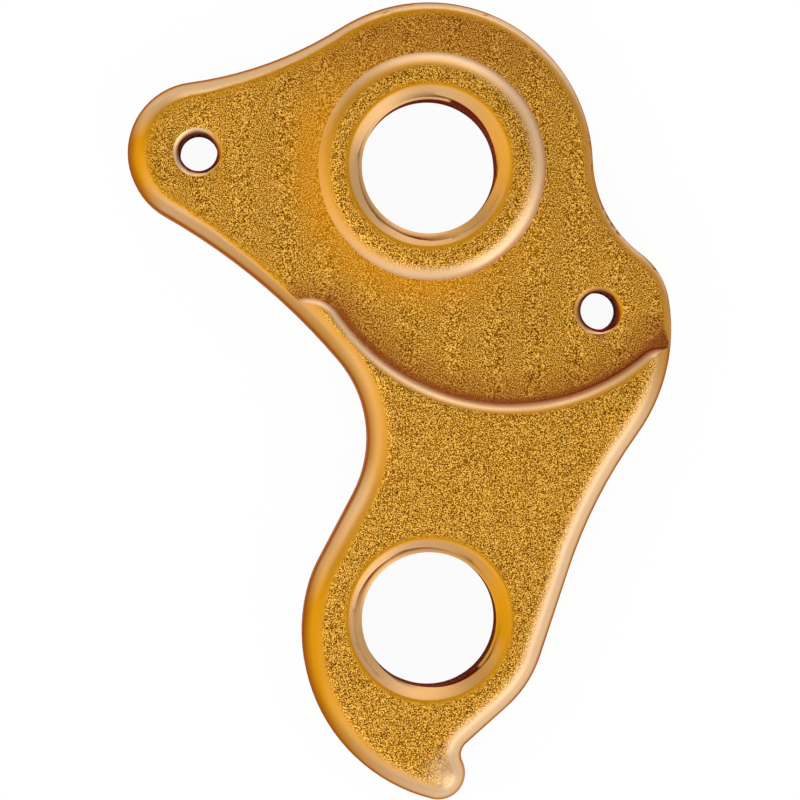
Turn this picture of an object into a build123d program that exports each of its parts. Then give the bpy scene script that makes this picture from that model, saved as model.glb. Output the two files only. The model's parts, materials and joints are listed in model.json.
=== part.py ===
from build123d import *
import math
import os

# Bicycle derailleur hanger, one piece of aluminium plate, lying on its outer face.
# X points to the rear of the bicycle, Y up, Z inboard to the frame that the hanger is screwed to.
# The origin is where the axis of the axle hole meets the outer face. Sizes are in millimetres.

# Plate
arm_thickness = 7.0
inner_edge_round = 1.7
outer_edge_chamfer = 0.5

# Places of the holes from the axle
derailleur_drop = 30.3
front_screw_ahead = 15.4
front_screw_rise = 0.9
rear_screw_behind = 11.4
rear_screw_drop = 9.65

# Tapped holes, diameters of the drill, the thread and the countersunk mouth
axle_drill = 9.0
axle_thread = 10.0
axle_mouth = 11.1
derailleur_drill = 9.0
derailleur_thread = 10.0
derailleur_mouth = 11.1
screw_drill = 2.5
screw_thread = 3.0
screw_mouth = 3.4
countersink_slope = 33.0  # degrees from the face

# Outline, radii of its arcs and lengths of its straight runs
axle_lobe_radius = 11.0
front_shoulder_radius = 25.4
front_lobe_radius = 4.75
front_flank_radius = 43.5
waist_radius = 8.05
waist_half_width = 4.1  # from the line of the two large holes to the narrowest place in front
waist_straight = 5.1
arm_front_radius = 8.35
arm_rear_radius = 7.85
heel_radius = 11.45
heel_start = 163.0  # degrees about the derailleur hole where the heel leaves the arm's front
tab_start = -104.0  # degrees about the heel's centre where the tab's tip leaves the heel
tab_tip_land = 0.1  # what the edge rounding leaves of the tip's radius on the inner face
notch_radius = 1.0
notch_straight = 3.7
rear_side_radius = 33.4
rear_side_straight = 6.1
hip_radius = 12.1
hip_end = 9.5  # degrees about the rear screw hole where the hip runs into the rear lobe
rear_lobe_radius = 4.75
rear_shoulder_radius = 8.05

# Seat for the frame, with the step that the arm rises over it
seat_depth = 0.6  # below the arm's inner face, at the axle
seat_lean = 1.6  # degrees, deeper towards the rear
step_radius = 13.75
step_centre_behind = 5.45
step_centre_drop = 2.0
step_front_ledge_drop = 8.55
step_rear_ledge_drop = 12.1
step_front_corner_radius = 2.6
step_rear_corner_radius = 1.8
step_front_turn = 135.0  # degrees about the front corner where the step runs straight out
step_crest_round = 1.1

# Boss that stands in the frame's recess around the axle
boss_radius = 7.64  # at its foot
boss_rise = 0.6  # above the seat, at the axle
boss_slope = 50.0  # degrees, of its conical side
boss_edge_round = 1.9
boss_sink = 0.5  # of its root below the seat

# Lengths for trimming solids that reach past the plate, and the gap taken as touching
reach = 3 * derailleur_drop
overshoot = 1.0
touching_gap = 0.001

axle = Vector(0, 0)
derailleur = Vector(0, -derailleur_drop)
front_screw = Vector(-front_screw_ahead, front_screw_rise)
rear_screw = Vector(rear_screw_behind, -rear_screw_drop)


def polar(radius, degrees):
    return Vector(radius, 0).rotate(Axis.Z, degrees)


# Point at two given distances from two centres, on the right of the way from the first to the second
def apart_from(first, first_distance, second, second_distance):
    way = second - first
    along = (first_distance**2 - second_distance**2 + way.length**2) / (2 * way.length)
    aside = math.sqrt(first_distance**2 - along**2)
    forward = way.normalized()
    return first + forward * along + forward.rotate(Axis.Z, -90) * aside


# Points where the outline leaves one arc and enters the next, the same point for arcs that touch
def crossing(leaving, entering):
    first, first_radius = leaving
    second, second_radius = entering
    way = second - first
    rise = second_radius - first_radius
    run = math.sqrt(max(way.length**2 - rise**2, 0.0))
    inward = way.normalized() * math.copysign(1.0, rise)
    if run < touching_gap:
        point = first - inward * first_radius
        return point, point
    inward = way.normalized().rotate(Axis.Z, math.degrees(math.atan2(run, rise)))
    return first - inward * first_radius, second - inward * second_radius


def arc(centre, radius, start, end):
    middle = (start + end) / 2 - centre
    return ThreePointArc(start, centre + middle.normalized() * abs(radius), end)


def seat_height(x):
    return arm_thickness - seat_depth - x * math.tan(math.radians(seat_lean))


# Centres of the outline's arcs
front_shoulder = apart_from(
    axle,
    axle_lobe_radius + front_shoulder_radius,
    front_screw,
    front_lobe_radius + front_shoulder_radius,
)
waist_reach = math.hypot(arm_front_radius + waist_radius, waist_straight)
waist_x = -waist_half_width - waist_radius
waist = Vector(waist_x, derailleur.Y + math.sqrt(waist_reach**2 - waist_x**2))
front_flank = apart_from(
    front_screw,
    front_lobe_radius + front_flank_radius,
    waist,
    front_flank_radius - waist_radius,
)
heel = derailleur - polar(heel_radius - arm_front_radius, heel_start)
tab_tip_radius = inner_edge_round + tab_tip_land
tab_tip = heel + polar(heel_radius - tab_tip_radius, tab_start)
notch = apart_from(
    tab_tip,
    tab_tip_radius + notch_radius,
    derailleur,
    math.hypot(arm_rear_radius + notch_radius, notch_straight),
)
hip = rear_screw - polar(hip_radius - rear_lobe_radius, hip_end)
rear_side = apart_from(
    derailleur,
    math.hypot(arm_rear_radius + rear_side_radius, rear_side_straight),
    hip,
    hip_radius + rear_side_radius,
)
rear_shoulder = apart_from(
    rear_screw,
    rear_lobe_radius + rear_shoulder_radius,
    axle,
    axle_lobe_radius + rear_shoulder_radius,
)

# Arcs in their order round the outline, hollow ones with a negative radius
circles = [
    (axle, axle_lobe_radius),
    (front_shoulder, -front_shoulder_radius),
    (front_screw, front_lobe_radius),
    (front_flank, -front_flank_radius),
    (waist, -waist_radius),
    (derailleur, arm_front_radius),
    (heel, heel_radius),
    (tab_tip, tab_tip_radius),
    (notch, -notch_radius),
    (derailleur, arm_rear_radius),
    (rear_side, -rear_side_radius),
    (hip, hip_radius),
    (rear_screw, rear_lobe_radius),
    (rear_shoulder, -rear_shoulder_radius),
]
crossings = [crossing(first, second) for first, second in zip(circles, circles[1:] + circles[:1])]
outline = []
for index, (centre, radius) in enumerate(circles):
    start = crossings[index - 1][1]
    end, next_start = crossings[index]
    outline.append(arc(centre, radius, start, end))
    if end is not next_start:
        outline.append(Line(end, next_start))

# Plate with its rounded edges
blank = extrude(make_face(outline), arm_thickness)
blank = fillet(blank.faces().sort_by(Axis.Z)[-1].edges(), inner_edge_round)
blank = chamfer(blank.faces().sort_by(Axis.Z)[0].edges(), outer_edge_chamfer)

# Arm's level, bounded by the foot of the step
step_centre = Vector(step_centre_behind, -step_centre_drop)
front_ledge = -step_front_ledge_drop
rear_ledge = -step_rear_ledge_drop


# Centre of the corner between the step's arc and a ledge, on the front or the rear side
def ledge_corner(ledge, radius, side):
    level = ledge - radius
    half = math.sqrt((step_radius + radius) ** 2 - (step_centre.Y - level) ** 2)
    return Vector(step_centre.X + side * half, level)


front_corner = ledge_corner(front_ledge, step_front_corner_radius, -1)
rear_corner = ledge_corner(rear_ledge, step_rear_corner_radius, 1)
front_turn = front_corner + polar(step_front_corner_radius, step_front_turn)
front_end = front_turn + polar(reach, step_front_turn + 90)
rear_turn = rear_corner + Vector(0, step_rear_corner_radius)
arc_start = step_centre + (front_corner - step_centre).normalized() * step_radius
arc_end = step_centre + (rear_corner - step_centre).normalized() * step_radius
foot_line = [
    Line(front_end, front_turn),
    arc(front_corner, step_front_corner_radius, front_turn, arc_start),
    arc(step_centre, step_radius, arc_start, arc_end),
    arc(rear_corner, step_rear_corner_radius, arc_end, rear_turn),
    Line(rear_turn, (reach, rear_ledge)),
]
arm_border = Polyline((reach, rear_ledge), (reach, -reach), (-reach, -reach), front_end)
arm_level = extrude(make_face(foot_line + [arm_border]), arm_thickness)
arm_top = arm_level.faces().sort_by(Axis.Z)[-1]
step_edges = [edge for edge in arm_top.edges() if edge.bounding_box().min.Y > derailleur.Y]
arm_level = fillet(step_edges, step_crest_round)

# Seat's level, leaning about the vertical
seat_place = Location((0, 0, seat_height(0)), (0, seat_lean, 0))
seat_level = seat_place * Box(reach, reach, reach, align=(Align.CENTER, Align.CENTER, Align.MAX))
hanger = (blank & seat_level) + (blank & arm_level)

# Boss with its conical side
boss_root = seat_height(0) - boss_sink
boss_top = seat_height(0) + boss_rise
boss_spread = 1 / math.tan(math.radians(boss_slope))
boss = Pos(0, 0, boss_root) * Cone(
    boss_radius + boss_sink * boss_spread,
    boss_radius - boss_rise * boss_spread,
    boss_top - boss_root,
    align=(Align.CENTER, Align.CENTER, Align.MIN),
)
boss = fillet(boss.faces().sort_by(Axis.Z)[-1].edges(), boss_edge_round)
hanger += boss


# Solid to cut one tapped hole: countersunk mouth, bore, and a chamfer at the outer face
def tapped_hole(place, drill, thread, mouth, height):
    fall = math.tan(math.radians(countersink_slope))
    section = Polyline(
        (0, height + overshoot * fall),
        (mouth / 2 + overshoot, height + overshoot * fall),
        (drill / 2, height - (mouth - drill) / 2 * fall),
        (drill / 2, (thread - drill) / 2),
        (thread / 2 + overshoot, -overshoot),
        (0, -overshoot),
        close=True,
    )
    return Pos(place.X, place.Y) * revolve(Plane.XZ * make_face(section), Axis.Z)


hanger -= tapped_hole(axle, axle_drill, axle_thread, axle_mouth, boss_top)
hanger -= tapped_hole(derailleur, derailleur_drill, derailleur_thread, derailleur_mouth, arm_thickness)
for place in (front_screw, rear_screw):
    hanger -= tapped_hole(place, screw_drill, screw_thread, screw_mouth, seat_height(place.X))

os.makedirs("parts", exist_ok=True)
export_step(hanger, "parts/hanger.step")
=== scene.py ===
import json
import math

import bmesh
import bpy
from mathutils import Matrix, Vector


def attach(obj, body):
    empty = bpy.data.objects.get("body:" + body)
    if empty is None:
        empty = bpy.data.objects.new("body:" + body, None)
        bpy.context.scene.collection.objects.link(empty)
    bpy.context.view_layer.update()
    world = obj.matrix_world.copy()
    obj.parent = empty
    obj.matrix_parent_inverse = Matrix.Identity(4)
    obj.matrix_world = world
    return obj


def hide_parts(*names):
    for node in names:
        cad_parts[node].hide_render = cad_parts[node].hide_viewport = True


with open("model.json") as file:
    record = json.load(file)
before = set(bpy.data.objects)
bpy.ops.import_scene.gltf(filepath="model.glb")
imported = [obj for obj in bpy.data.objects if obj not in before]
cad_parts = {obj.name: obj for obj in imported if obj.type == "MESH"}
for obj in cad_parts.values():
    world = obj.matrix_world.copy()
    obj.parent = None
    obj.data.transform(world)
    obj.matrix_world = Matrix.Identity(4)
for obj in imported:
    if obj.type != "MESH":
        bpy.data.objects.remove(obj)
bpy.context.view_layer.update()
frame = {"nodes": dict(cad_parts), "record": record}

mm = 0.001
scene = bpy.context.scene
scene.view_settings.view_transform = "Standard"
mounts = {mount["name"]: mount for mount in frame["record"]["mounts"]}
print("frame loaded, nodes:", sorted(frame["nodes"]))


def srgb(code):  # sRGB hex to linear, by the standard's own curve
    parts = [int(code[i:i + 2], 16) / 255 for i in (1, 3, 5)]
    return tuple(p / 12.92 if p <= 0.04045 else ((p + 0.055) / 1.055) ** 2.4 for p in parts) + (1.0,)


def addNode(tree, kind, values={}, links={}, **settings):
    node = tree.nodes.new(kind)
    for name, setting in settings.items():
        setattr(node, name, setting)
    for name, value in values.items():
        node.inputs[name].default_value = value
    for name, output in links.items():
        tree.links.new(output, node.inputs[name])
    return node


# threads of the four holes, cut into the solid's smooth bores
largeThread = {
    "holes": ("axle_thread", "derailleur_thread"),
    "pitch": 1.0,  # mm, fine thread of the two large holes
    "rootRadius": 5.0,
    "mouthRadius": 5.55,
    "slope": 33,  # degrees, of the countersink
    "lipRound": 0.5,  # rolled edge of the countersink
    "crest": 0.28,  # share of the pitch
    "root": 0.14,
    "shadeFrom": 1.3,  # mm below the face, where the painted shade in the thread starts
    "shadeDepth": 0.25,  # mm from there, or from the first crest, to where it is darkest
    "columns": 112,  # points round the hole
    "startTurn": {"axle_thread": 0.65, "derailleur_thread": 0.33},  # where the thread runs out in the mouth
    "nick": {},
}
screwThread = {
    "holes": ("front_screw_thread", "rear_screw_thread"),
    "pitch": 0.5,  # mm, coarse thread of the two screw holes
    "rootRadius": 1.5,
    "mouthRadius": 1.7,
    "slope": 33,
    "lipRound": 0.2,
    "crest": 0.30,
    "root": 0.16,
    "shadeFrom": 0.09,
    "shadeDepth": 0.12,
    "columns": 48,
    "startTurn": {"front_screw_thread": 0.1, "rear_screw_thread": 0.55},
    "nick": {"rear_screw_thread": (0.76, 0.43)},  # turn and mm, a dent beaten into the rim
}
threadCut = {
    "boreReach": 0.12,  # mm past the mouth, within which the solid's own faces are taken out
    "flankSteps": 4,
    "lipSteps": 6,
    "rootGap": 0.02,  # mm, the countersink ends this far outside the thread's root
    "leastCone": 0.01,  # mm, width of the countersink below its rolled edge where there is no room
    "outerGap": 0.03,  # mm above the outer face, where the thread ends
    "spareTurns": 2,
    "crestBelow": 0.2,  # share of the pitch between the countersink's end and the first whole crest
    "grooveShade": (3.0, 1.1),  # gain of the painted shade with the groove's depth, and what is taken off again
    "nickColumns": 2,  # points each side over which the dent fades
}


def threadProfile(thread, depth):  # share of the pitch and depth of each point, from one crest to the next
    crest, root, steps = thread["crest"], thread["root"], threadCut["flankSteps"]
    flank = (1 - crest - root) / 2
    points = [(0.0, 0.0), (crest / 2, 0.0)]
    points += [(crest / 2 + flank * k / steps, depth * k / steps) for k in range(1, steps + 1)]
    points += [(0.5, depth)]
    points += [(1 - crest / 2 - flank * k / steps, depth * k / steps) for k in range(steps, 0, -1)]
    return points


def turnAbout(centre, vert):  # angle of a point about a hole's axis
    return math.atan2(vert.co.y - centre.y, vert.co.x - centre.x) % math.tau


def openLoop(shape, centre, reach, high):  # rim left open by the removed bore, in order of its angle
    rim = set()
    for edge in shape.edges:
        if edge.is_boundary:
            for vert in edge.verts:
                if (vert.co - centre).xy.length < reach and (vert.co.z > centre.z) == high:
                    rim.add(vert)
    return sorted(rim, key=lambda vert: turnAbout(centre, vert))


def zipRings(shape, first, second, centre):  # triangles between two rings with different counts of points
    def turn(ring, index):
        return turnAbout(centre, ring[index % len(ring)]) + math.tau * (index // len(ring))

    a = b = 0
    while a < len(first) or b < len(second):
        goFirst = b >= len(second) or (a < len(first) and turn(first, a + 1) <= turn(second, b + 1))
        if goFirst:
            corners = (first[a % len(first)], first[(a + 1) % len(first)], second[b % len(second)])
            a += 1
        else:
            corners = (first[a % len(first)], second[(b + 1) % len(second)], second[b % len(second)])
            b += 1
        shape.faces.new(corners)


def cutThread(shape, name, thread):
    mount = mounts[name]
    # painted shade of the thread, darker deeper in it, kept on its points
    threadShadeLayer = shape.verts.layers.float["threadShade"]
    shadeFrom, shadeDepth = thread["shadeFrom"] * mm, thread["shadeDepth"] * mm
    shadeGain, shadeLoss = threadCut["grooveShade"]
    centre = Vector(mount["pos_m"])
    bore = mount["dims"]["r_mm"] * mm
    pitch, rootRadius = thread["pitch"] * mm, thread["rootRadius"] * mm
    mouth, lip, columns = thread["mouthRadius"] * mm, thread["lipRound"] * mm, thread["columns"]
    slope = math.radians(thread["slope"])
    startTurn = thread["startTurn"][name]
    reach = mouth + threadCut["boreReach"] * mm

    smoothBore = [
        face for face in shape.faces
        if all((vert.co - centre).xy.length < reach for vert in face.verts)
    ]
    bmesh.ops.delete(shape, geom=smoothBore, context="FACES")
    mouthRim = openLoop(shape, centre, reach, True)
    outerRim = openLoop(shape, centre, reach, False)

    # height of the mouth's face round the hole, which may lean
    middle = sum((vert.co for vert in mouthRim), Vector()) / len(mouthRim)
    lean = sum((vert.co.x - centre.x) * (vert.co.z - middle.z) for vert in mouthRim)
    lean /= sum((vert.co.x - centre.x) ** 2 for vert in mouthRim)

    def spot(column, radius, z):
        angle = math.tau * column / columns
        return Vector((centre.x + radius * math.cos(angle), centre.y + radius * math.sin(angle), z))

    def faceHeight(column):
        return middle.z + lean * mouth * math.cos(math.tau * column / columns)

    def wider(column):  # the countersink cuts a leaning face wider where it is higher
        return (faceHeight(column) - middle.z) / math.tan(slope)

    # rolled edge of the countersink
    rings = []
    steps = threadCut["lipSteps"]
    for step in range(1, steps + 1):
        bend = slope * step / steps
        radius = mouth - lip * math.sin(bend)
        drop = lip * (1 - math.cos(bend))
        ring = [spot(j, radius + wider(j), faceHeight(j) - drop) for j in range(columns)]
        rings.append([shape.verts.new(place) for place in ring])
    coneRadius, coneDrop = radius, drop
    if name in thread["nick"]:
        turn, depth = thread["nick"][name]
        way = Vector((math.cos(math.tau * turn), math.sin(math.tau * turn), 0))
        dented = max(mouthRim, key=lambda vert: (vert.co - centre).dot(way))
        dented.co += way * depth * mm
        span = threadCut["nickColumns"]
        for ring in rings:
            for j in range(-span, span + 1):
                ring[round(turn * columns) + j].co.z -= depth / 2 * mm * (1 - abs(j) / (span + 1))
    room = coneRadius - max(wider(j) for j in range(columns)) - rootRadius
    coneWidth = max(room - threadCut["rootGap"] * mm, threadCut["leastCone"] * mm)
    threadDrop = coneDrop + coneWidth * math.tan(slope)
    ringRadius = coneRadius - (threadDrop - coneDrop) / math.tan(slope)

    # helix rows, held between the countersink and the outer face
    profile = threadProfile(thread, rootRadius - bore)
    floorZ = threadCut["outerGap"] * mm
    grid = {}

    def helixVert(row, column):
        if column == columns:
            row, column = row + len(profile), 0
        turns, sample = divmod(row, len(profile))
        share, depth = profile[sample]
        z = pitch * (turns + share + column / columns - startTurn)
        top = faceHeight(column) - threadDrop
        groove = 0.0
        if z >= top:
            key, z, radius = ("top", column), top, ringRadius + wider(column)
        elif z <= floorZ:
            key, z, radius = ("floor", column), floorZ, rootRadius - floorZ
        else:
            key = (row, column)
            cone = coneRadius - (middle.z - z - coneDrop) / math.tan(slope)
            radius = max(bore + depth, cone, rootRadius - z)
            groove = (radius - max(cone, bore)) / (rootRadius - bore)
        if key not in grid:
            grid[key] = shape.verts.new(spot(column, radius, z))
            # painted shade: darker below the first crest, deep in the groove and far below the face
            rise = pitch * (column / columns - startTurn)
            turnsBelow = math.floor((top - threadCut["crestBelow"] * pitch - rise) / pitch)
            belowCrest = (pitch * turnsBelow + rise - z) / shadeDepth
            belowFace = (faceHeight(column) - z - shadeFrom) / shadeDepth
            grid[key][threadShadeLayer] = min(max(belowCrest, shadeGain * groove - shadeLoss, belowFace, 0.0), 1.0)
        return grid[key]

    rows = int((middle.z / pitch + threadCut["spareTurns"]) * len(profile))
    for row in range(-len(profile), rows):
        for column in range(columns):
            corners = []
            for r, c in ((row, column), (row, column + 1), (row + 1, column + 1), (row + 1, column)):
                vert = helixVert(r, c)
                if vert not in corners:
                    corners.append(vert)
            if len(corners) > 2:
                shape.faces.new(corners)
    rings.append([grid[("top", j)] for j in range(columns)])
    for upper, lower in zip(rings, rings[1:]):
        for j in range(columns):
            k = (j + 1) % columns
            shape.faces.new((upper[j], upper[k], lower[k], lower[j]))
    zipRings(shape, mouthRim, rings[0], centre)
    zipRings(shape, outerRim, [grid[("floor", j)] for j in range(columns)], centre)
    print("thread cut:", name, "rim points", len(mouthRim), len(outerRim))


# hanger plate, the solid's own shape with its threads and with the border of its seat broken
hangerPlate = {
    "node": "hanger",
    "weld": 0.0005,  # mm, joins the seams between the solid's faces
    "sharpFrom": 22,  # degrees, flatter edges are shaded round
    "seatRise": (0.02793, 0.0, 1.0),  # the seat leans to the rear
    "seatHeight": 6.4,  # mm, at the axle
    "seatGap": 0.004,  # mm, nearer points are on the seat
    "screwClear": 2.4,  # mm, nearer borders of the seat are the mouths of the screw holes
    "innerFace": 7.0,  # mm, height of the arm
    "edgeRound": 1.7,  # mm, of the plate's edge
    "steepBend": (30, 60),  # degrees that the rounding has turned at the border, from flat to steep
    "softBorder": (1.0, 0.6),  # mm, width over which the border is broken, where it is flat and steep
    "softDrop": 0.5,  # share of the corner that is taken off where it is steep
    "softRings": 5,
    "besideBend": 0.8,  # share of the bend at which the points beside the border fall away
    "bareFlat": 0.45,  # how bare a flat border is, where a steep one is 1
    "borderStep": (0.1, 0.4),  # mm, least and greatest gap between the border's points
    "borderReach": 0.6,  # mm each way, over which the border's direction is taken
}
seatRise, seatHeight = Vector(hangerPlate["seatRise"]), hangerPlate["seatHeight"] * mm
seatGap = hangerPlate["seatGap"] * mm


def aboveSeat(vert):
    return vert.co.dot(seatRise) - seatHeight


def findBorder(shape):  # the seat's faces, its border on the plate's edge from end to end, its other borders
    seat = {face for face in shape.faces if all(abs(aboveSeat(vert)) < seatGap for vert in face.verts)}
    holes = [Vector(mounts[name]["pos_m"]).xy for name in screwThread["holes"]]
    outer, kept = set(), []
    for edge in shape.edges:
        others = [face for face in edge.link_faces if face not in seat]
        if len(others) != 1 or len(edge.link_faces) != 2:
            continue
        middle = (edge.verts[0].co + edge.verts[1].co) / 2
        nearHole = min((middle.xy - hole).length for hole in holes) < hangerPlate["screwClear"] * mm
        rising = min(aboveSeat(vert) for vert in others[0].verts) > -seatGap
        if nearHole or rising:
            kept.append(edge)
        else:
            outer.add(edge)

    def links(vert):
        return [edge for edge in vert.link_edges if edge in outer]

    ends = [vert for edge in outer for vert in edge.verts if len(links(vert)) == 1]
    first = min(ends, key=lambda vert: vert.co.x)
    chain, edge = [first], links(first)[0]
    while edge:
        chain.append(edge.other_vert(chain[-1]))
        edge = next((near for near in links(chain[-1]) if near is not edge), None)
    print("seat border found, ends:", len(ends))
    return seat, chain, kept


def spaceBorder(shape, chain):  # joins points that stand too close and adds some where the gaps are long
    shortest, longest = (gap * mm for gap in hangerPlate["borderStep"])
    joined = {}
    for before, vert in zip(chain, chain[1:-1]):
        if (vert.co - before.co).length < shortest:
            joined[vert] = before
    spaced = [vert for vert in chain if vert not in joined]
    bmesh.ops.weld_verts(shape, targetmap=joined)
    even = spaced[:1]
    for vert in spaced[1:]:
        for part in range(math.ceil((vert.co - even[-1].co).length / longest), 1, -1):
            edge = shape.edges.get((even[-1], vert))
            even.append(bmesh.utils.edge_split(edge, even[-1], 1 / part)[1])
        even.append(vert)
    return even


def softenSeat(shape):  # breaks the seat's border where it meets the rounded edge of the plate
    seat, chain, kept = findBorder(shape)
    bmesh.ops.delete(shape, geom=list(seat), context="FACES")
    chain = spaceBorder(shape, chain)
    points = [vert.co.copy() for vert in chain]
    area = sum(a.x * b.y - a.y * b.x for a, b in zip(points, points[1:] + points[:1]))

    bareLayer = shape.verts.layers.float["bareEdge"]
    ringCount, bareFlat = hangerPlate["softRings"], hangerPlate["bareFlat"]
    steepFrom, steepTo = hangerPlate["steepBend"]
    flatWidth, steepWidth = (width * mm for width in hangerPlate["softBorder"])
    rings, bends = [[chain[0]] for ring in range(ringCount + 1)], [0.0]
    for index in range(1, len(chain) - 1):
        point = points[index]
        near = [other for other in points if (other - point).length < hangerPlate["borderReach"] * mm]
        ahead = max(near[-1], points[index + 1], key=lambda spot: (spot - point).length)
        behind = max(near[0], points[index - 1], key=lambda spot: (spot - point).length)
        way = (ahead - behind).xy.normalized() * math.copysign(1.0, area)
        depth = hangerPlate["innerFace"] - point.z / mm
        bend = math.acos(1 - depth / hangerPlate["edgeRound"])
        bends.append(bend)
        steep = min(max((math.degrees(bend) - steepFrom) / (steepTo - steepFrom), 0.0), 1.0)
        clear = min((point - points[0]).length, (point - points[-1]).length)
        width = min(flatWidth + (steepWidth - flatWidth) * steep, clear / 2)
        corner = hangerPlate["softDrop"] * steep * width * math.tan(bend / 2)
        bare = (bareFlat + (1 - bareFlat) * steep) * min(width / steepWidth, 1.0)
        for ring in range(ringCount + 1):
            inset = width * ring / ringCount
            drop = corner * (1 - ring / ringCount) ** 2
            x, y = point.x - way.y * inset, point.y + way.x * inset
            spot = Vector((x, y, seatHeight - seatRise.x * x - drop))
            if ring == 0:
                chain[index].co = spot
                rings[0].append(chain[index])
            else:
                rings[ring].append(shape.verts.new(spot))
            rings[ring][-1][bareLayer] = bare * (1 - ring / ringCount)
    for row in rings:
        row.append(chain[-1])
    for upper, lower in zip(rings, rings[1:]):
        for j in range(len(chain) - 1):
            corners = dict.fromkeys((upper[j], upper[j + 1], lower[j + 1], lower[j]))
            shape.faces.new(list(corners))

    # points of the rounding beside the border sink with it
    beside = {edge.other_vert(vert) for vert in chain[1:-1] for edge in vert.link_edges}
    for vert in beside.difference(*rings):
        index = min(range(1, len(chain) - 1), key=lambda index: (vert.co.xy - points[index].xy).length)
        out = (vert.co.xy - points[index].xy).length
        fall = math.tan(hangerPlate["besideBend"] * bends[index])
        vert.co.z = min(vert.co.z, chain[index].co.z - out * fall)
    rim = [shape.edges.get(pair) for pair in zip(rings[-1], rings[-1][1:])]
    bmesh.ops.triangle_fill(shape, edges=kept + rim, use_beauty=True, normal=(0, 0, 1))
    print("seat border softened, points:", len(chain))
    return {vert for row in rings[:-1] for vert in row[1:-1]}


def makePlate():
    source = frame["nodes"][hangerPlate["node"]]
    shape = bmesh.new()
    shape.from_mesh(source.data)
    # painted shade in the threads, kept on the points
    shape.verts.layers.float.new("threadShade")
    shape.verts.layers.float.new("bareEdge")
    bmesh.ops.remove_doubles(shape, verts=shape.verts, dist=hangerPlate["weld"] * mm)
    for thread in (largeThread, screwThread):
        for name in thread["holes"]:
            cutThread(shape, name, thread)
    softened = softenSeat(shape)
    bmesh.ops.recalc_face_normals(shape, faces=shape.faces)
    openEdges = sum(not edge.is_manifold for edge in shape.edges)
    for face in shape.faces:
        face.smooth = True
        face.material_index = 0
    for edge in shape.edges:
        flat = edge.calc_face_angle(math.pi) < math.radians(hangerPlate["sharpFrom"])
        edge.smooth = flat or any(vert in softened for vert in edge.verts)
    mesh = bpy.data.meshes.new("hangerPlate")
    shape.to_mesh(mesh)
    shape.free()
    if "custom_normal" in mesh.attributes:
        mesh.attributes.remove(mesh.attributes["custom_normal"])
    plate = bpy.data.objects.new("hangerPlate", mesh)
    scene.collection.objects.link(plate)
    shading = plate.modifiers.new("evenShading", "WEIGHTED_NORMAL")
    shading.keep_sharp = True
    print("plate made, faces:", len(mesh.polygons), "open edges:", openEdges)
    return plate


# gold anodised aluminium, bead-blasted before dyeing: satin metal with a sandy glitter on the flats,
# painted highlights on the smooth roundings towards the rear, and painted red-brown shade in the threads
goldAnodised = {
    "pit": "#472300",
    "gold": "#ad7200",
    "peak": "#f8c25e",
    "edge": "#b97d08",  # smooth gold of the roundings
    "shadedWall": "#ad6a14",  # steep sides, painted darker as shade
    # pale painted highlight along the crests of the roundings
    "highlight": "#e6c298",
    "grazing": "#c88a30",  # tint of the metal at a flat angle
    # painted red-brown shade deep in the threads
    "thread": "#5c1503",
    # painted shade along the step's foot and at the top of the seat
    "paintedShade": "#803a14",
    # painted warm reflection of the boss on the seat round it
    "bossReflection": "#d98a04",
    "grain": 0.078,  # mm, width of a blasting dent
    "grainHeight": 0.006,  # mm
    "grainTones": (0.36, 0.5, 0.64),  # of the grain's height, where pit, gold and peak stand
    "mottle": 4.0,  # mm, soft clouds in the dye
    "mottleSpan": (0.3, 0.7),
    "roughness": 0.42,
    "roughnessSpread": 0.05,  # each way, in the clouds
    "coat": {"Coat Weight": 0.04, "Coat Roughness": 0.25},  # clear skin of the oxide
    "highlightSide": (0.82, -0.57, 0.0),  # the side with the most painted highlight, to the rear and below
    "bossShare": 0.16,  # painted highlight all round the boss
    "reflectionSide": (-0.8, -0.6, 0.0),  # the side of the boss where its painted reflection is strongest
    "waist": (-5.0, -18.5, 0.0),  # mm, hollow of the arm's front
    "tabTip": (2.0, -41.0, 0.0),  # mm
    "lowerHole": (0.0, -30.3, 0.0),  # mm
    "stepCentre": (5.45, -2.0, 0.0),  # mm, middle of the step's arc
    "seatSpan": 0.04,  # mm above and below the seat's plane
    # by how level the face is, where 1 is level
    "wallShadeTones": (0.30, 0.75),  # from the painted shade of the steep sides to edge
    "crestTones": (0.28, 0.50, 0.84, 0.985),  # painted highlight comes, is full, is still full and has gone
    "sandyLevel": {"From Min": 0.90, "From Max": 0.99},
    "sandyLean": 0.2,  # the side of the painted highlight counts as more level by this much
    # by how far the face leans to a side, for the painted highlights
    "rearHighlight": {"From Min": -0.40, "From Max": 0.45},
    "topHighlight": {"From Min": 0.12, "From Max": 0.6, "To Max": 0.8},
    # by how bare the seat's border is
    "unworn": {"From Min": 0.75, "From Max": 0.0},
    # by mm from the nearer of the large holes, for the grain and the painted highlight at their lips
    "clearOfLip": {"From Min": 5.4, "From Max": 5.85},
    "lipHighlight": {"From Min": 5.5, "From Max": 5.8, "To Min": 0.55},
    # by mm from the axle: all round, to the rear, up, and to the side of the boss's painted reflection
    "onBoss": {"From Min": 8.2, "From Max": 7.8},
    # ring of the boss's painted reflection on the seat
    "ring": {"From Min": 10.8, "From Max": 7.2, "To Max": 0.5},
    "inFront": {"From Min": 11.0, "From Max": 7.0},
    "belowHip": {"From Min": -12.0, "From Max": -19.0, "To Min": 0.25},
    "belowBoss": {"From Min": -7.0, "From Max": -10.0},
    "upperShade": {"From Min": 4.0, "From Max": 9.0, "To Max": 0.32},
    "reflectionFront": {"From Min": -4.0, "From Max": 5.0, "To Min": 0.05},
    # by mm from the waist, the tab's tip (painted highlights) and the middle of the step's arc (painted
    # shade)
    "waistHighlight": {"From Min": 8.0, "From Max": 4.0, "To Max": 0.2},
    "tabHighlight": {"From Min": 2.9, "From Max": 0.6, "To Max": 0.65},
    "foot": {"From Min": 11.0, "From Max": 13.8, "To Max": 0.5},
    "footLine": {"From Min": 13.0, "From Max": 13.7, "To Max": 0.85},
}


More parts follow.
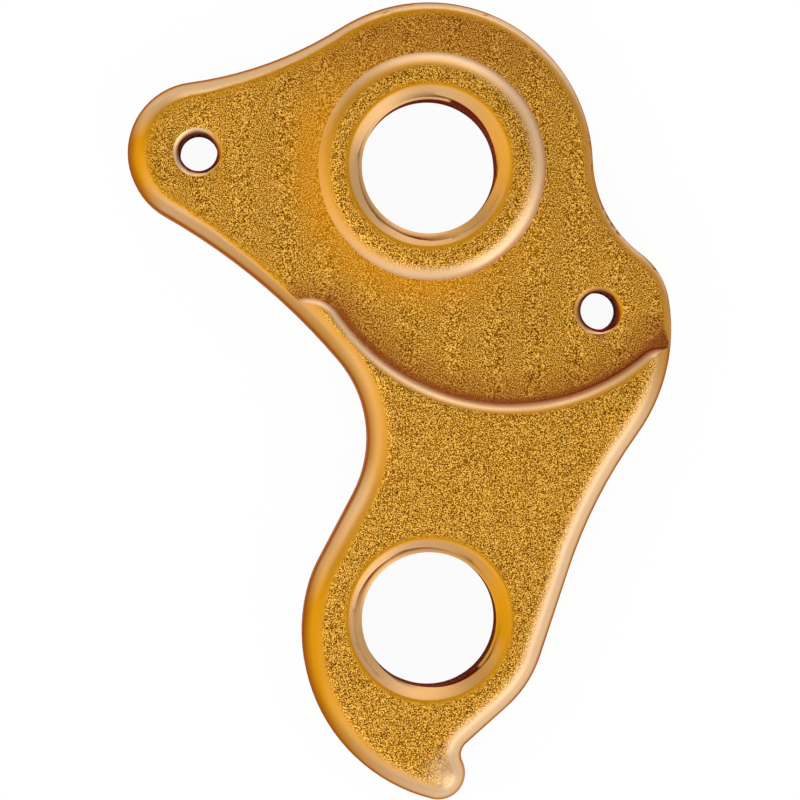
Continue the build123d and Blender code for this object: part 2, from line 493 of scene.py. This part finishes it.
def makeGoldAnodised(look):
    material = bpy.data.materials.new("goldAnodisedAluminium")
    material.use_nodes = True
    tree = material.node_tree
    tree.nodes.clear()
    coords = addNode(tree, "ShaderNodeTexCoord")
    place = coords.outputs["Object"]
    facing = addNode(tree, "ShaderNodeSeparateXYZ", links={0: coords.outputs["Normal"]})
    level = addNode(tree, "ShaderNodeMath", links={0: facing.outputs["Z"]}, operation="ABSOLUTE")
    highlightLean = addNode(
        tree, "ShaderNodeVectorMath", {1: look["highlightSide"]}, {0: coords.outputs["Normal"]},
        operation="DOT_PRODUCT",
    )

    # places seen from above, in mm
    plan = addNode(tree, "ShaderNodeVectorMath", {1: (1 / mm, 1 / mm, 0)}, {0: place}, operation="MULTIPLY")
    along = addNode(tree, "ShaderNodeSeparateXYZ", links={0: plan.outputs[0]})
    fromAxle = addNode(tree, "ShaderNodeVectorMath", links={0: plan.outputs[0]}, operation="LENGTH")
    fromLower = addNode(
        tree, "ShaderNodeVectorMath", {1: look["lowerHole"]}, {0: plan.outputs[0]}, operation="DISTANCE",
    )
    fromHole = addNode(
        tree, "ShaderNodeMath", links={0: fromAxle.outputs["Value"], 1: fromLower.outputs["Value"]},
        operation="MINIMUM",
    )
    fromWaist = addNode(
        tree, "ShaderNodeVectorMath", {1: look["waist"]}, {0: plan.outputs[0]}, operation="DISTANCE",
    )
    fromTab = addNode(
        tree, "ShaderNodeVectorMath", {1: look["tabTip"]}, {0: plan.outputs[0]}, operation="DISTANCE",
    )
    fromStep = addNode(
        tree, "ShaderNodeVectorMath", {1: look["stepCentre"]}, {0: plan.outputs[0]}, operation="DISTANCE",
    )

    # blasting dents on the flats, which fade on the roundings, sooner in front than at the rear
    grain = addNode(
        tree, "ShaderNodeTexNoise",
        {"Scale": 1 / (look["grain"] * mm), "Detail": 1.0, "Roughness": 0.5}, {"Vector": place},
    )
    leaned = addNode(
        tree, "ShaderNodeMath", {1: look["sandyLean"]}, {0: highlightLean.outputs["Value"], 2: level.outputs[0]},
        operation="MULTIPLY_ADD",
    )
    flatEnough = addNode(
        tree, "ShaderNodeMapRange", look["sandyLevel"], {"Value": leaned.outputs[0]},
        interpolation_type="SMOOTHSTEP",
    )
    border = addNode(tree, "ShaderNodeAttribute", attribute_name="bareEdge")
    unworn = addNode(
        tree, "ShaderNodeMapRange", look["unworn"], {"Value": border.outputs["Fac"]},
        interpolation_type="SMOOTHSTEP",
    )
    clearOfLip = addNode(
        tree, "ShaderNodeMapRange", look["clearOfLip"], {"Value": fromHole.outputs[0]},
        interpolation_type="SMOOTHSTEP",
    )
    flatAndUnworn = addNode(
        tree, "ShaderNodeMath", links={0: flatEnough.outputs[0], 1: unworn.outputs[0]}, operation="MULTIPLY",
    )
    sandy = addNode(
        tree, "ShaderNodeMath", links={0: flatAndUnworn.outputs[0], 1: clearOfLip.outputs[0]},
        operation="MULTIPLY",
    )
    bump = addNode(
        tree, "ShaderNodeBump", {"Distance": look["grainHeight"] * mm},
        {"Height": grain.outputs[0], "Strength": sandy.outputs[0]},
    )
    dye = addNode(tree, "ShaderNodeValToRGB", links={0: grain.outputs[0]})

    # smooth roundings and sides, the steep sides painted darker as shade, with a painted highlight along
    # their crests
    edgeToneAndWallShade = addNode(tree, "ShaderNodeValToRGB", links={0: level.outputs[0]})
    crest = addNode(tree, "ShaderNodeValToRGB", links={0: level.outputs[0]})
    tones = (
        (dye, look["grainTones"], (look["pit"], look["gold"], look["peak"])),
        (edgeToneAndWallShade, look["wallShadeTones"], (look["shadedWall"], look["edge"])),
        (crest, look["crestTones"], ("#000000", "#ffffff", "#ffffff", "#000000")),
    )
    for node, positions, colours in tones:
        stops = node.color_ramp.elements
        for end in (0, -1):
            stops[end].position = positions[end]
            stops[end].color = srgb(colours[end])
        for position, colour in zip(positions[1:-1], colours[1:-1]):
            stops.new(position).color = srgb(colour)
    body = addNode(
        tree, "ShaderNodeMix", links={0: sandy.outputs[0], 6: edgeToneAndWallShade.outputs[0], 7: dye.outputs[0]},
        data_type="RGBA",
    )
    rearHighlight = addNode(
        tree, "ShaderNodeMapRange", look["rearHighlight"], {"Value": highlightLean.outputs["Value"]},
        interpolation_type="SMOOTHSTEP",
    )
    onBoss = addNode(tree, "ShaderNodeMapRange", look["onBoss"], {"Value": fromAxle.outputs["Value"]})
    belowHip = addNode(
        tree, "ShaderNodeMapRange", look["belowHip"], {"Value": along.outputs["Y"]},
        interpolation_type="SMOOTHSTEP",
    )
    inFront = addNode(tree, "ShaderNodeMapRange", look["inFront"], {"Value": along.outputs["X"]})
    frontOrBelow = addNode(
        tree, "ShaderNodeMath", links={0: inFront.outputs[0], 1: belowHip.outputs[0]}, operation="MAXIMUM",
    )
    highlightPlaces = addNode(
        tree, "ShaderNodeMath", links={0: onBoss.outputs[0], 1: frontOrBelow.outputs[0]}, operation="MAXIMUM",
    )
    rearHighlightHere = addNode(
        tree, "ShaderNodeMath", links={0: rearHighlight.outputs[0], 1: highlightPlaces.outputs[0]}, operation="MULTIPLY",
    )
    bossHighlight = addNode(
        tree, "ShaderNodeMath", {1: look["bossShare"]}, {0: onBoss.outputs[0], 2: rearHighlightHere.outputs[0]},
        operation="MULTIPLY_ADD",
    )
    topHighlight = addNode(tree, "ShaderNodeMapRange", look["topHighlight"], {"Value": facing.outputs["Y"]})
    waistHighlight = addNode(
        tree, "ShaderNodeMapRange", look["waistHighlight"], {"Value": fromWaist.outputs["Value"]},
        interpolation_type="SMOOTHSTEP",
    )
    tabHighlight = addNode(
        tree, "ShaderNodeMapRange", look["tabHighlight"], {"Value": fromTab.outputs["Value"]},
        interpolation_type="SMOOTHSTEP",
    )
    highlightEnds = addNode(
        tree, "ShaderNodeMath", links={0: bossHighlight.outputs[0], 1: topHighlight.outputs[0]}, operation="ADD",
    )
    highlightSides = addNode(
        tree, "ShaderNodeMath", links={0: highlightEnds.outputs[0], 1: waistHighlight.outputs[0]}, operation="ADD",
        use_clamp=True,
    )
    crestHighlight = addNode(
        tree, "ShaderNodeMath", links={0: crest.outputs[0], 1: highlightSides.outputs[0]}, operation="MULTIPLY",
    )
    lipHighlight = addNode(tree, "ShaderNodeMapRange", look["lipHighlight"], {"Value": fromHole.outputs[0]})
    crestHighlightHere = addNode(
        tree, "ShaderNodeMath", links={0: crestHighlight.outputs[0], 1: lipHighlight.outputs[0]}, operation="MULTIPLY",
    )
    highlight = addNode(
        tree, "ShaderNodeMath", links={0: crestHighlightHere.outputs[0], 1: tabHighlight.outputs[0]}, operation="MAXIMUM",
    )
    highlighted = addNode(
        tree, "ShaderNodeMix", {7: srgb(look["highlight"])}, {0: highlight.outputs[0], 6: body.outputs[2]},
        data_type="RGBA",
    )

    # painted warm reflection of the boss round it, and painted shade along the step's foot and at the top,
    # all on the seat
    height = addNode(
        tree, "ShaderNodeVectorMath", {1: hangerPlate["seatRise"]}, {0: place}, operation="DOT_PRODUCT",
    )
    atSeat = addNode(
        tree, "ShaderNodeMath", {1: seatHeight, 2: look["seatSpan"] * mm}, {0: height.outputs["Value"]},
        operation="COMPARE",
    )
    onSeat = addNode(
        tree, "ShaderNodeMath", links={0: atSeat.outputs[0], 1: sandy.outputs[0]}, operation="MULTIPLY",
    )
    # painted warm reflection of the boss, in a ring round it on the seat, strongest on one side
    ring = addNode(
        tree, "ShaderNodeMapRange", look["ring"], {"Value": fromAxle.outputs["Value"]},
        interpolation_type="SMOOTHSTEP",
    )
    reflectionLean = addNode(
        tree, "ShaderNodeVectorMath", {1: look["reflectionSide"]}, {0: plan.outputs[0]}, operation="DOT_PRODUCT",
    )
    reflectionFront = addNode(tree, "ShaderNodeMapRange", look["reflectionFront"], {"Value": reflectionLean.outputs["Value"]})
    reflectionSides = addNode(
        tree, "ShaderNodeMath", links={0: ring.outputs[0], 1: reflectionFront.outputs[0]}, operation="MULTIPLY",
    )
    reflectionMask = addNode(
        tree, "ShaderNodeMath", links={0: reflectionSides.outputs[0], 1: onSeat.outputs[0]}, operation="MULTIPLY",
    )
    reflected = addNode(
        tree, "ShaderNodeMix", {7: srgb(look["bossReflection"])}, {0: reflectionMask.outputs[0], 6: highlighted.outputs[2]},
        data_type="RGBA",
    )
    # painted shade along the step's foot
    foot = addNode(
        tree, "ShaderNodeMapRange", look["foot"], {"Value": fromStep.outputs["Value"]},
        interpolation_type="SMOOTHSTEP",
    )
    footLine = addNode(
        tree, "ShaderNodeMapRange", look["footLine"], {"Value": fromStep.outputs["Value"]},
        interpolation_type="SMOOTHSTEP",
    )
    footAll = addNode(
        tree, "ShaderNodeMath", links={0: foot.outputs[0], 1: footLine.outputs[0]}, operation="MAXIMUM",
    )
    belowBoss = addNode(
        tree, "ShaderNodeMapRange", look["belowBoss"], {"Value": along.outputs["Y"]},
        interpolation_type="SMOOTHSTEP",
    )
    footBelow = addNode(
        tree, "ShaderNodeMath", links={0: footAll.outputs[0], 1: belowBoss.outputs[0]}, operation="MULTIPLY",
    )
    upperShade = addNode(
        tree, "ShaderNodeMapRange", look["upperShade"], {"Value": along.outputs["Y"]},
        interpolation_type="SMOOTHSTEP",
    )
    shadePlaces = addNode(
        tree, "ShaderNodeMath", links={0: footBelow.outputs[0], 1: upperShade.outputs[0]},
        operation="MAXIMUM",
    )
    shadeMask = addNode(
        tree, "ShaderNodeMath", links={0: shadePlaces.outputs[0], 1: onSeat.outputs[0]}, operation="MULTIPLY",
    )
    shaded = addNode(
        tree, "ShaderNodeMix", {7: srgb(look["paintedShade"])}, {0: shadeMask.outputs[0], 6: reflected.outputs[2]},
        data_type="RGBA",
    )

    # painted red-brown shade in the threads
    threadShaded = addNode(tree, "ShaderNodeAttribute", attribute_name="threadShade")
    colour = addNode(
        tree, "ShaderNodeMix", {7: srgb(look["thread"])}, {0: threadShaded.outputs["Fac"], 6: shaded.outputs[2]},
        data_type="RGBA",
    )
    clouds = addNode(
        tree, "ShaderNodeTexNoise", {"Scale": 1 / (look["mottle"] * mm), "Detail": 3.0}, {"Vector": place},
    )
    thinnest, thickest = look["mottleSpan"]
    smoothest = look["roughness"] - look["roughnessSpread"]
    roughest = look["roughness"] + look["roughnessSpread"]
    roughness = addNode(
        tree, "ShaderNodeMapRange",
        {"From Min": thinnest, "From Max": thickest, "To Min": smoothest, "To Max": roughest},
        {"Value": clouds.outputs[0]},
    )
    surface = addNode(
        tree, "ShaderNodeBsdfPrincipled",
        {"Metallic": 1.0, "Specular Tint": srgb(look["grazing"]), **look["coat"]},
        {"Base Color": colour.outputs[2], "Roughness": roughness.outputs[0], "Normal": bump.outputs[0]},
    )
    addNode(tree, "ShaderNodeOutputMaterial", links={"Surface": surface.outputs[0]})
    print("gold finish made, nodes:", len(tree.nodes))
    return material


plate = makePlate()
plate.data.materials.append(makeGoldAnodised(goldAnodised))
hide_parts(hangerPlate["node"])
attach(plate, "root")

# floor of white paper: plain white to the eye and in the metal's reflections, with a trace of shadow
floorSheet = {
    "size": 4.0,  # m
    "under": 0.01,  # mm below the part
    "colour": "#f6f5f4",
    "glow": 0.95,  # share of plain white in what is seen of it
}


def makeFloor(look):
    mesh = bpy.data.meshes.new("floorSheet")
    half = look["size"] / 2
    mesh.from_pydata(
        [(-half, -half, 0), (half, -half, 0), (half, half, 0), (-half, half, 0)], [], [(0, 1, 2, 3)]
    )
    floor = bpy.data.objects.new("floorSheet", mesh)
    floor.location.z = -look["under"] * mm
    scene.collection.objects.link(floor)
    material = bpy.data.materials.new("whitePaper")
    material.use_nodes = True
    tree = material.node_tree
    tree.nodes.clear()
    path = addNode(tree, "ShaderNodeLightPath")
    seen = addNode(
        tree, "ShaderNodeMath", links={0: path.outputs["Is Camera Ray"], 1: path.outputs["Is Glossy Ray"]},
        operation="MAXIMUM",
    )
    shown = addNode(
        tree, "ShaderNodeMath", links={0: seen.outputs[0], 1: path.outputs["Is Transmission Ray"]},
        operation="MAXIMUM",
    )
    share = addNode(tree, "ShaderNodeMath", {1: look["glow"]}, {0: shown.outputs[0]}, operation="MULTIPLY")
    paper = addNode(tree, "ShaderNodeBsdfDiffuse", {"Color": srgb(look["colour"])})
    glow = addNode(tree, "ShaderNodeEmission", {"Color": srgb("#ffffff"), "Strength": 1.0})
    mixed = addNode(
        tree, "ShaderNodeMixShader", links={0: share.outputs[0], 1: paper.outputs[0], 2: glow.outputs[0]},
    )
    addNode(tree, "ShaderNodeOutputMaterial", links={"Surface": mixed.outputs[0]})
    mesh.materials.append(material)


makeFloor(floorSheet)
print("floor laid")

# soft studio light, places in metres, brightness as radiance where 1 is white
studio = {
    "room": 0.74,
    "lamps": {
        "overheadSoftbox": {
            "from": (-0.30, -0.33, 0.45), "at": (-0.30, -0.33, 0.0), "size": (0.58, 0.80), "white": 1.08,
        },
        "leftSoftbox": {
            "from": (-0.56, -0.05, 0.22), "at": (0, -0.05, 0.16), "size": (0.80, 0.44), "white": 1.0,
        },
        "topSoftbox": {
            "from": (0.06, 0.45, 0.30), "at": (0, -0.0156, 0.005), "size": (0.50, 0.25), "white": 1.4,
        },
        "lowerRightSoftbox": {
            "from": (0.28, -0.26, 0.30), "at": (0, -0.0156, 0.005), "size": (0.42, 0.42), "white": 1.25,
        },
    },
}


def makeLamp(name, lamp):
    light = bpy.data.lights.new(name, "AREA")
    light.shape = "RECTANGLE"
    light.size, light.size_y = lamp["size"]
    light.energy = lamp["white"] * math.pi * light.size * light.size_y
    holder = bpy.data.objects.new(name, light)
    holder.location = lamp["from"]
    aim = Vector(lamp["at"]) - holder.location
    holder.rotation_euler = aim.to_track_quat("-Z", "Y").to_euler()
    scene.collection.objects.link(holder)


for lampName, lampLook in studio["lamps"].items():
    makeLamp(lampName, lampLook)

room = bpy.data.worlds.new("studioRoom")
room.use_nodes = True
tree = room.node_tree
tree.nodes.clear()
path = addNode(tree, "ShaderNodeLightPath")
brightness = addNode(
    tree, "ShaderNodeMapRange", {"To Min": studio["room"], "To Max": 1.0},
    {"Value": path.outputs["Is Camera Ray"]},
)
sky = addNode(tree, "ShaderNodeBackground", {"Color": srgb("#ffffff")}, {"Strength": brightness.outputs[0]})
addNode(tree, "ShaderNodeOutputWorld", links={"Surface": sky.outputs[0]})
scene.world = room
print("light set")

# camera, from the shift between the mouths and the far ends of the large holes
cameraView = {
    "aim": (-1.97, -15.63, 7.0),  # mm, middle of the picture on the inner face
    "place": (-12.0, -16.5, 430.0),  # mm
    "width": 53.33,  # mm across the picture at the inner face
    "sensor": 36.0,  # mm
    "clip": (0.01, 20.0),  # m
}
camera = bpy.data.cameras.new("photoCamera")
camera.sensor_width = cameraView["sensor"]
place, target = Vector(cameraView["place"]) * mm, Vector(cameraView["aim"]) * mm
back = (place - target).normalized()
across = Vector((0, 1, 0)).cross(back).normalized()
turn = Matrix((across, back.cross(across), back)).transposed()
camera.lens = camera.sensor_width * (place - target).length / (cameraView["width"] * mm)
camera.clip_start, camera.clip_end = cameraView["clip"]
photoCamera = bpy.data.objects.new("photoCamera", camera)
photoCamera.matrix_world = Matrix.Translation(place) @ turn.to_4x4()
scene.collection.objects.link(photoCamera)
scene.camera = photoCamera
print("camera set, lens", round(camera.lens, 1))

bpy.context.view_layer.update()
